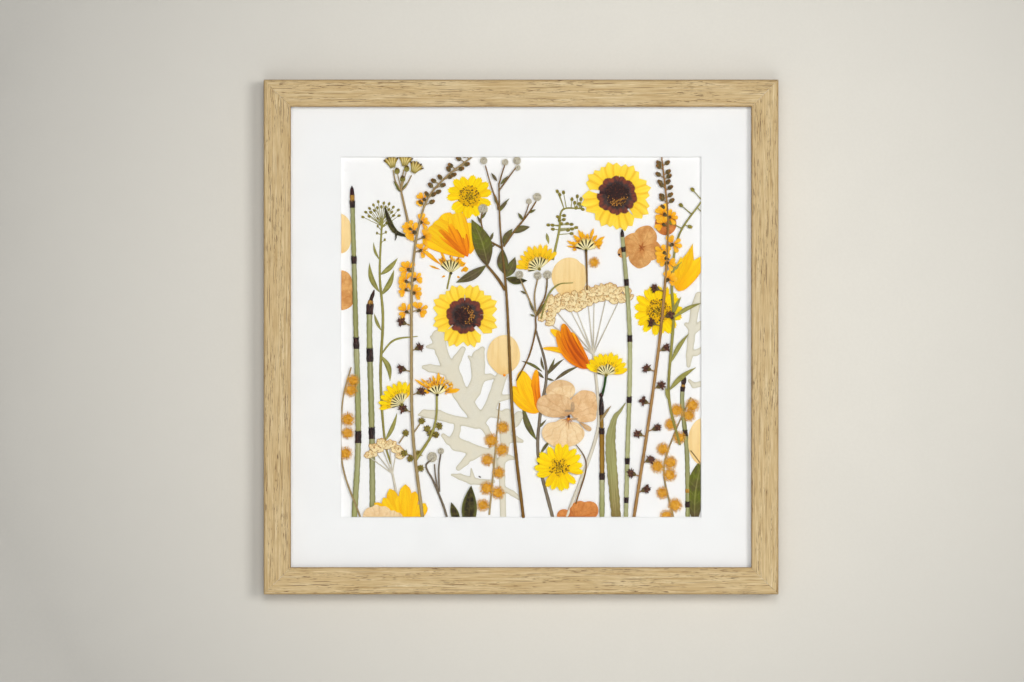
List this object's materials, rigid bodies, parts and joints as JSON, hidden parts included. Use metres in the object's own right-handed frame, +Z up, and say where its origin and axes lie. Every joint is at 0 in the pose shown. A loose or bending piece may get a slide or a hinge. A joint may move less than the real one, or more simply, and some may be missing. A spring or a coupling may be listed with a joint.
{
  "type": "pressed flower frame",
  "caption": "Square oak-finish wall frame with glass and a white window mat, holding pressed yellow flowers, horsetails, sprigs and leaves.",
  "frame": {"origin": "where the hanger's teeth bear on the wall nail, in the plane of the wall behind the frame", "axes": "+Z up, +Y into the wall, so the glass faces -Y, +X to the right for someone looking at the flowers"},
  "size_m": [0.324, 0.02, 0.324],
  "materials": {
    "oak": "satin",
    "glass": "gloss",
    "white_mat": "matte",
    "white_card": "matte",
    "hardboard": "matte",
    "steel": "satin",
    "hanger_steel": "satin",
    "horsetail": "matte",
    "green_stem": "matte",
    "olive_leaf": "matte",
    "brown_stem": "matte",
    "straw_stem": "matte",
    "yellow_petal": "matte",
    "orange_petal": "matte",
    "peach_petal": "matte",
    "tan_petal": "matte",
    "silver_leaf": "matte",
    "straw_flower": "matte",
    "mimosa_puff": "matte"
  },
  "bodies": {
    "root": {"top_rail": "oak", "right_rail": "oak", "bottom_rail": "oak", "left_rail": "oak", "glazing": "glass", "window_mat": "white_mat", "mounting_card": "white_card", "backing_board": "hardboard", "top_tab": "steel", "right_tab": "steel", "bottom_tab": "steel", "left_tab": "steel", "hanger_plate": "hanger_steel", "left_hanger_rivet": "hanger_steel", "right_hanger_rivet": "hanger_steel", "horsetail_far_left": "horsetail", "horsetail_left": "horsetail", "horsetail_tall_right": "horsetail", "horsetail_short_right": "horsetail", "horsetail_far_right": "horsetail", "umbel_sprig_left": "green_stem", "umbel_sprig_centre": "green_stem", "cress_sprig_right": "green_stem", "leafy_stem_centre": "green_stem", "tansy_sprig": "olive_leaf", "leaf_pair_sprig": "olive_leaf", "dark_leaf_bottom": "olive_leaf", "grass_blade": "olive_leaf", "button_sprig_stem": "brown_stem", "button_sprig_left_branch": "brown_stem", "button_sprig_right_branch": "brown_stem", "centre_trio_sprig": "brown_stem", "button_sprig_lower_left": "brown_stem", "agrimony_spike_left": "straw_stem", "agrimony_spike_right": "straw_stem", "daisy_upper_left": "yellow_petal", "daisy_right": "yellow_petal", "daisy_lower_centre": "yellow_petal", "coreopsis_upper_right": "yellow_petal", "coreopsis_left": "yellow_petal", "side_daisy_upper": "yellow_petal", "side_daisy_right": "yellow_petal", "side_daisy_left": "yellow_petal", "ragged_daisy_upper_left": "yellow_petal", "ragged_daisy_centre": "yellow_petal", "folded_flower_upper_left": "yellow_petal", "yellow_petals_lower_left": "yellow_petal", "yellow_petals_centre": "yellow_petal", "ragged_daisy_left": "orange_petal", "folded_flower_right": "orange_petal", "peach_petal_upper": "peach_petal", "peach_petal_centre": "peach_petal", "hydrangea_floret_right": "tan_petal", "pansy": "tan_petal", "dusty_miller_leaf": "silver_leaf", "strawflower_large": "straw_flower", "strawflower_small": "straw_flower", "mimosa_left": "mimosa_puff", "mimosa_centre": "mimosa_puff", "mimosa_right": "mimosa_puff"}
  },
  "joints": []
}
